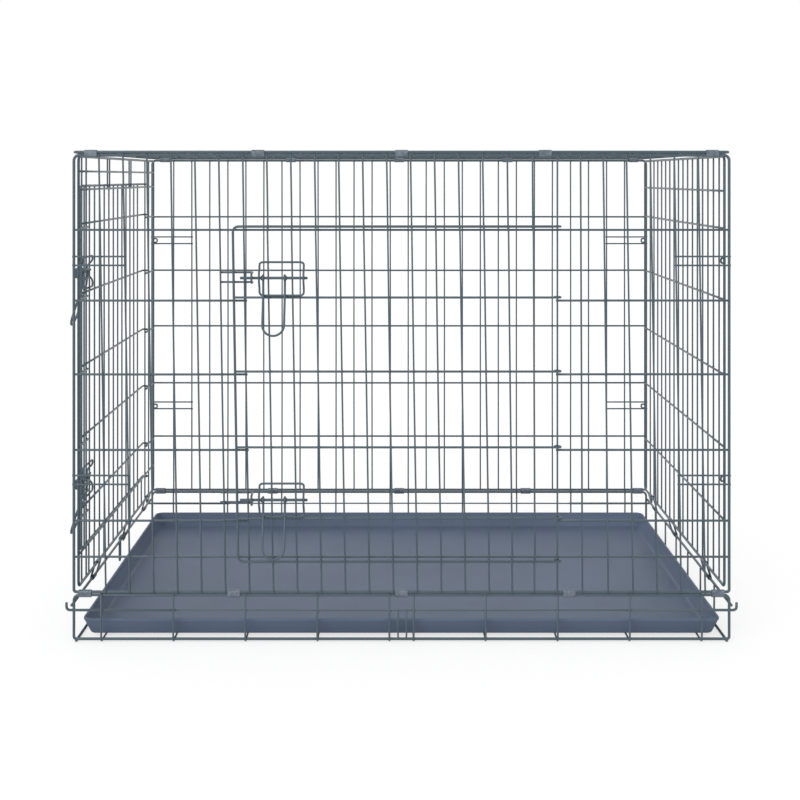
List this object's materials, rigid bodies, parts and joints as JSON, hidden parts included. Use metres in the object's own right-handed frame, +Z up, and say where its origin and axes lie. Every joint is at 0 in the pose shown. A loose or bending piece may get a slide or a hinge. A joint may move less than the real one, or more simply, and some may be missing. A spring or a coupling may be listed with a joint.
{
  "type": "wire dog travel crate",
  "caption": "Folding wire dog crate with a front door and an end door, sliding bolt latches, clip-hinged panels and a slide-out plastic tray.",
  "frame": {"origin": "the point on the floor under the middle of the whole crate, latches and corner hooks included", "axes": "+Z up; the long side with the front door faces -Y; the end with the second door faces -X; +X runs along the long side"},
  "size_m": [0.9738, 0.6606, 0.6979],
  "materials": {
    "wire_enamel": "dark slate enamel, soft gloss",
    "clip_zinc": "grey zinc, satin",
    "tray_plastic": "slate blue-grey moulded plastic, soft gloss"
  },
  "bodies": {
    "root": {"base_frame": "wire_enamel", "front_panel": "wire_enamel", "back_panel": "wire_enamel", "top_panel": "wire_enamel", "front_bottom_clip_1": "clip_zinc", "front_bottom_clip_2": "clip_zinc", "front_bottom_clip_3": "clip_zinc", "front_bottom_clip_4": "clip_zinc", "front_bottom_clip_5": "clip_zinc", "back_bottom_clip_1": "clip_zinc", "back_bottom_clip_2": "clip_zinc", "back_bottom_clip_3": "clip_zinc", "back_bottom_clip_4": "clip_zinc", "back_bottom_clip_5": "clip_zinc", "front_top_clip_1": "clip_zinc", "front_top_clip_2": "clip_zinc", "front_top_clip_3": "clip_zinc", "front_top_clip_4": "clip_zinc", "front_top_clip_5": "clip_zinc", "back_top_clip_1": "clip_zinc", "back_top_clip_2": "clip_zinc", "back_top_clip_3": "clip_zinc", "back_top_clip_4": "clip_zinc", "back_top_clip_5": "clip_zinc"},
    "right_end": {"right_end_panel": "wire_enamel", "right_link_clip_1": "clip_zinc", "right_link_clip_2": "clip_zinc", "right_link_clip_3": "clip_zinc"},
    "left_end": {"left_end_panel": "wire_enamel", "left_link_clip_1": "clip_zinc", "left_link_clip_2": "clip_zinc", "left_link_clip_3": "clip_zinc"},
    "front_door": {"front_door": "wire_enamel"},
    "left_door": {"left_door": "wire_enamel"},
    "tray": {"tray": "tray_plastic"},
    "tray_stop": {"tray_stop": "wire_enamel"},
    "front_lower_bolt": {"front_lower_latch_bolt": "wire_enamel"},
    "front_lower_handle": {"front_lower_latch_handle": "wire_enamel"},
    "front_upper_bolt": {"front_upper_latch_bolt": "wire_enamel"},
    "front_upper_handle": {"front_upper_latch_handle": "wire_enamel"},
    "left_lower_bolt": {"left_lower_latch_bolt": "wire_enamel"},
    "left_lower_handle": {"left_lower_latch_handle": "wire_enamel"},
    "left_upper_bolt": {"left_upper_latch_bolt": "wire_enamel"},
    "left_upper_handle": {"left_upper_latch_handle": "wire_enamel"}
  },
  "joints": [
    {"name": "tray_slide", "type": "slide", "parent": "root", "child": "tray", "axis": [-1, 0, 0], "range_m": [0, 0.75]},
    {"name": "tray_stop_swing", "type": "hinge", "parent": "root", "child": "tray_stop", "pos_m": [-0.45754, 0.06001, 0.052], "axis": [0, 1, 0], "range_deg": [0, 120]},
    {"name": "right_end_fold", "type": "hinge", "parent": "root", "child": "right_end", "pos_m": [0.47746, 0.01601, 0.052], "axis": [0, -1, 0], "range_deg": [0, 88]},
    {"name": "left_end_fold", "type": "hinge", "parent": "root", "child": "left_end", "pos_m": [-0.45754, 0.01601, 0.052], "axis": [0, -1, 0], "range_deg": [-84, 0]},
    {"name": "front_door_hinge", "type": "hinge", "parent": "root", "child": "front_door", "pos_m": [0.23064, -0.29619, 0.352], "axis": [0, 0, 1], "range_deg": [0, 160]},
    {"name": "left_door_hinge", "type": "hinge", "parent": "left_end", "child": "left_door", "pos_m": [-0.45274, 0.24091, 0.381], "axis": [0, 0, -1], "range_deg": [0, 160]},
    {"name": "front_lower_bolt_slide", "type": "slide", "parent": "front_door", "child": "front_lower_bolt", "axis": [1, 0, 0], "range_m": [0, 0.02]},
    {"name": "front_upper_bolt_slide", "type": "slide", "parent": "front_door", "child": "front_upper_bolt", "axis": [1, 0, 0], "range_m": [0, 0.02]},
    {"name": "left_lower_bolt_slide", "type": "slide", "parent": "left_door", "child": "left_lower_bolt", "axis": [0, 1, 0], "range_m": [0, 0.02]},
    {"name": "left_upper_bolt_slide", "type": "slide", "parent": "left_door", "child": "left_upper_bolt", "axis": [0, 1, 0], "range_m": [0, 0.02]},
    {"name": "front_lower_handle_lift", "type": "hinge", "parent": "front_lower_bolt", "child": "front_lower_handle", "pos_m": [-0.15903, -0.31019, 0.205], "axis": [-1, 0, 0], "range_deg": [0, 90]},
    {"name": "front_upper_handle_lift", "type": "hinge", "parent": "front_upper_bolt", "child": "front_upper_handle", "pos_m": [-0.15903, -0.31019, 0.517], "axis": [-1, 0, 0], "range_deg": [0, 90]},
    {"name": "left_lower_handle_lift", "type": "hinge", "parent": "left_lower_bolt", "child": "left_lower_handle", "pos_m": [-0.46674, -0.17429, 0.205], "axis": [0, 1, 0], "range_deg": [0, 90]},
    {"name": "left_upper_handle_lift", "type": "hinge", "parent": "left_upper_bolt", "child": "left_upper_handle", "pos_m": [-0.46674, -0.17429, 0.517], "axis": [0, 1, 0], "range_deg": [0, 90]}
  ]
}
